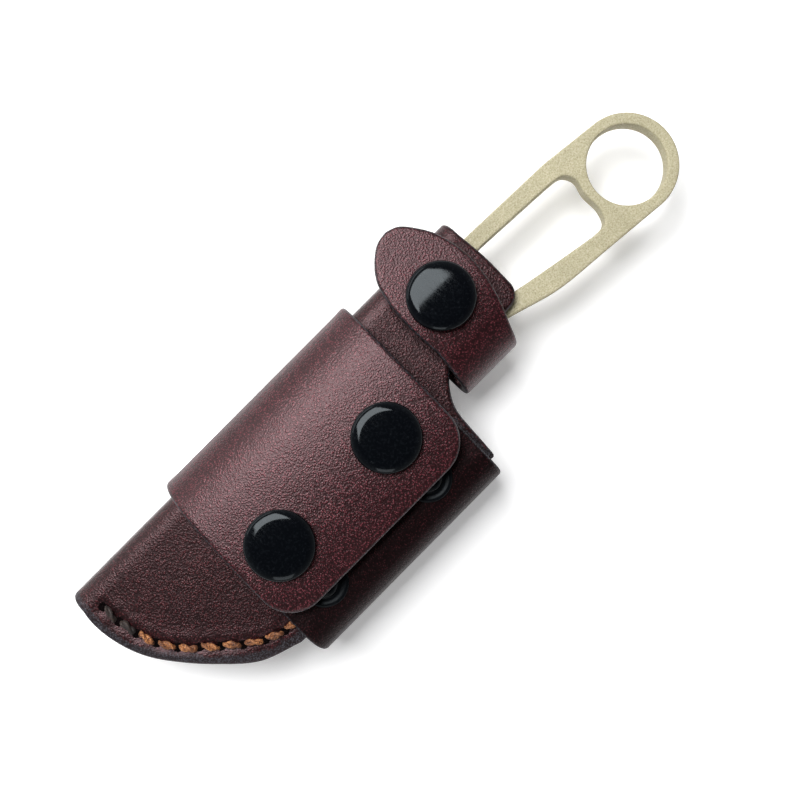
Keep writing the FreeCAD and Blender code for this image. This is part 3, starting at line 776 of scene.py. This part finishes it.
def post_profile(low):
    z = low + 0.05
    return [(1.8, z + 3.2), (1.8, z + 0.6), (3.0, z + 0.56), (4.4, z + 0.5), (4.68, z + 0.3),
            (4.6, z + 0.1), (4.2, z), (0, z)]


def fitting(name, profile, x, y, mat, body, cad, segs=72):
    v, f = lathe(profile, x, y, segs)
    if body == "strap":
        v = [(a, b, c - TIP_LEAN * (b - y)) for a, b, c in v]
    make(name, v, f, mat, body, [cad], cut=50)


def black_fitting(name, profile, x, y, body, cad):
    fitting(name, profile, x, y, METAL, body, cad)


def snaps():
    x, y = STRAP_SNAP
    fitting("strap_cap_dome", cap_profile(STRAP_LOW + HIDE_T, HIDE_T), x, y, CAP, "strap",
            "strap_snap_cap", 96)
    black_fitting("strap_socket", socket_profile(STRAP_LOW), x, y, "strap", "strap_snap_socket")
    black_fitting("strap_stud", stud_profile(FRONT_TOP), x, y, "sheath", "strap_snap_stud")
    black_fitting("strap_post", post_profile(FRONT_IN), x, y, "sheath", "strap_snap_post")
    stud, post = stud_profile(WRAP_LOW + WRAP_T), post_profile(WRAP_LOW)
    for tag, x in WRAP_SNAP_X.items():
        y = WRAP_SNAP_Y
        fitting("wrap_cap_dome_" + tag, cap_profile(FLAP_LOW + WRAP_T, WRAP_T), x, y, CAP, "wrap",
                "wrap_snap_cap_" + tag, 96)
        black_fitting("wrap_socket_" + tag, socket_profile(FLAP_LOW), x, y, "wrap",
                      "wrap_snap_socket_" + tag)
        black_fitting("wrap_stud_" + tag, stud, x, y, "sheath", "wrap_snap_stud_" + tag)
        black_fitting("wrap_post_" + tag, post, x, y, "sheath", "wrap_snap_post_" + tag)
        black_fitting("spare_stud_dome_" + tag, stud, x, SPARE_Y, "sheath", "spare_stud_" + tag)
        black_fitting("spare_post_disc_" + tag, post, x, SPARE_Y, "sheath", "spare_post_" + tag)


def rivets():
    dome = [(0, 18.62), (0.9, 18.58), (1.9, 18.42), (2.8, 18.15), (3.3, 17.85), (3.4, 17.68),
            (3.3, 17.62), (1.5, 17.62), (1.5, 14.1)]
    back = [(1.4, 14.0), (1.5, 13.7), (3.2, 13.66), (3.4, 13.5), (3.35, 13.28), (3.1, 13.25), (0, 13.25)]
    for name, profile, cad in (("rivet_domes", dome, "wrap_rivet_caps"),
                               ("rivet_backs", back, "wrap_rivet_posts")):
        verts, faces = join([lathe(profile, x, RIVET_Y, 48) for x in RIVET_X])
        make(name, verts, faces, METAL, "sheath", [cad], cut=50)


# ---- knife --------------------------------------------------------------------------------------
def knife():
    ring, ring_r, hole_r = (71.4, 1.35), 11.6, 9.0
    point_x, heel_x, steel = -73.5, -38.0, 4.0
    belly = smooth([(heel_x, -5.8), (-52.0, -4.0), (-64.0, 1.2), (point_x, 9.0)])
    outline = (smooth([(point_x, 9.0), (-63.0, 12.4), (-50.0, 14.7), (-36.0, 15.3)])[:-1]
               + [(-36.0, 15.3), (35.2, 15.3), (58.4, 14.5)]
               + arc(ring, ring_r, 86, -96, 60) + [(54.3, -8.7)]
               + smooth([(54.3, -8.7), (41.5, -7.4), (30.0, -4.2), (20.0, -1.9), (12.5, -1.7),
                         (9.0, -3.7), (7.0, -5.6)])[1:]
               + smooth([(4.6, -5.6), (2.4, -3.2), (-0.6, -3.2), (-2.4, -5.8)]) + belly[:-1])
    window = ([(22.0, 11.4), (36.0, 11.4)]
              + smooth([(56.2, 10.3), (59.6, 9.6), (61.0, 7.2), (60.2, 3.4), (60.1, -1.6), (58.6, -4.4),
                        (54.8, -4.5)])
              + smooth([(54.8, -4.5), (44.0, -2.6), (34.0, -0.7), (24.0, 1.6)])[1:]
              + smooth([(24.0, 1.6), (19.6, 2.8), (17.6, 6.4), (19.0, 10.0), (22.0, 11.4)])[1:-1])
    belly_x, belly_y = np.array(belly)[::-1].T

    def place(x, s, t):
        low = np.where(x < heel_x, np.interp(x, belly_x, belly_y), -5.8)
        grind = np.clip((s - low) / 12.0, 0, 1) * 0.93 + 0.07
        handle = np.clip((x + 4.6) / 2.4, 0, 1)
        handle = handle * handle * (3 - 2 * handle)
        thin = grind * (1 - handle) + handle
        tipward = np.clip((x - point_x) / 9.0, 0.15, 1)
        thin = np.minimum(thin, 0.1 + 0.9 * tipward)
        return np.column_stack([x, s, CORE_Z + (t - steel / 2) * thin])

    v, f, a = plate(outline, [window, arc(ring, hole_r, 0, 360, 73)[:-1]], place, steel, rnd=0.42,
                    step=0.6, grid=1.3, band=0.3)
    make("knife_steel", v, f, SAND, "knife", ["knife"], a)


# ---- floor, light, camera -----------------------------------------------------------------------
def paper_floor():
    half = 3
    floor = bpy.data.objects.new("floor", bpy.data.meshes.new("floor"))
    floor.data.from_pydata([(-half, -half, 0), (half, -half, 0), (half, half, 0), (-half, half, 0)], [],
                           [(0, 1, 2, 3)])
    bpy.context.scene.collection.objects.link(floor)
    floor.location.z = -0.00005
    white, nt, bsdf = material("paper_white", Roughness=0.9, Emission_Color=(1, 1, 1, 1),
                               Emission_Strength=0.22)
    cloud = node(nt, "ShaderNodeTexNoise", {"Scale": 40.0, "Detail": 3.0}).outputs["Fac"]
    colour = ramp(nt, cloud, [(0.3, (0.925, 0.925, 0.93)), (0.7, (0.94, 0.94, 0.945))])
    nt.links.new(colour, bsdf.inputs["Base Color"])
    floor.data.materials.append(white)


def area(name, at, size, size_y, power):
    """A rectangular lamp, in metres and watts, that faces the middle of the floor."""
    lamp = bpy.data.lights.new(name, "AREA")
    lamp.shape = "RECTANGLE"
    lamp.size = size
    lamp.size_y = size_y
    lamp.energy = power
    ob = bpy.data.objects.new(name, lamp)
    ob.location = at
    ob.rotation_euler = (-Vector(at)).to_track_quat("-Z", "Y").to_euler()
    bpy.context.scene.collection.objects.link(ob)


def studio_world():
    """Dark overhead, so that black caps stay black, and brighter towards the horizon."""
    world = bpy.data.worlds.new("studio")
    bpy.context.scene.world = world
    world.use_nodes = True
    nt = world.node_tree
    way = node(nt, "ShaderNodeSeparateXYZ", {0: node(nt, "ShaderNodeTexCoord").outputs["Generated"]})
    background = nt.nodes["Background"]
    nt.links.new(spread(nt, way.outputs["Z"], 0.9, 0.1, 0.0, 0.5), background.inputs["Strength"])
    background.inputs["Color"].default_value = (1, 1, 1, 1)


def camera():
    """Nearly straight down, turned so that the object lies corner to corner."""
    tilt, roll, lean = 0.0168, 0.7891, 0.0064
    east, north = math.sin(tilt), math.sin(lean)
    axis = Vector((east, north, -math.sqrt(1 - east ** 2 - north ** 2)))
    right = Vector((math.cos(roll), -math.sin(roll), 0))
    right = (right - axis * right.dot(axis)).normalized()
    up = right.cross(axis)
    cam = bpy.data.objects.new("camera", bpy.data.cameras.new("camera"))
    cam.data.lens = 39.4605
    cam.data.sensor_width = 36
    cam.data.clip_start = 0.01
    pose = Matrix((right, up, -axis)).transposed().to_4x4()
    pose.translation = Vector(metres(-3.94, -0.90, 204.82))
    cam.matrix_world = pose
    bpy.context.scene.collection.objects.link(cam)
    bpy.context.scene.camera = cam


pouch()
welt()
stitching()
stitch_holes()
strap()
wrap_inner()
wrap_flap()
snaps()
rivets()
knife()
paper_floor()
area("softbox", (0.0, 0.30, 0.52), 0.42, 0.36, 5.1)
area("rear_strip", (-0.1, 0.62, 0.25), 0.7, 0.16, 0.8)
area("low_fill", (-0.45, -0.4, 0.35), 0.3, 0.3, 0.7)
studio_world()
bpy.context.scene.view_settings.view_transform = "Standard"
camera()
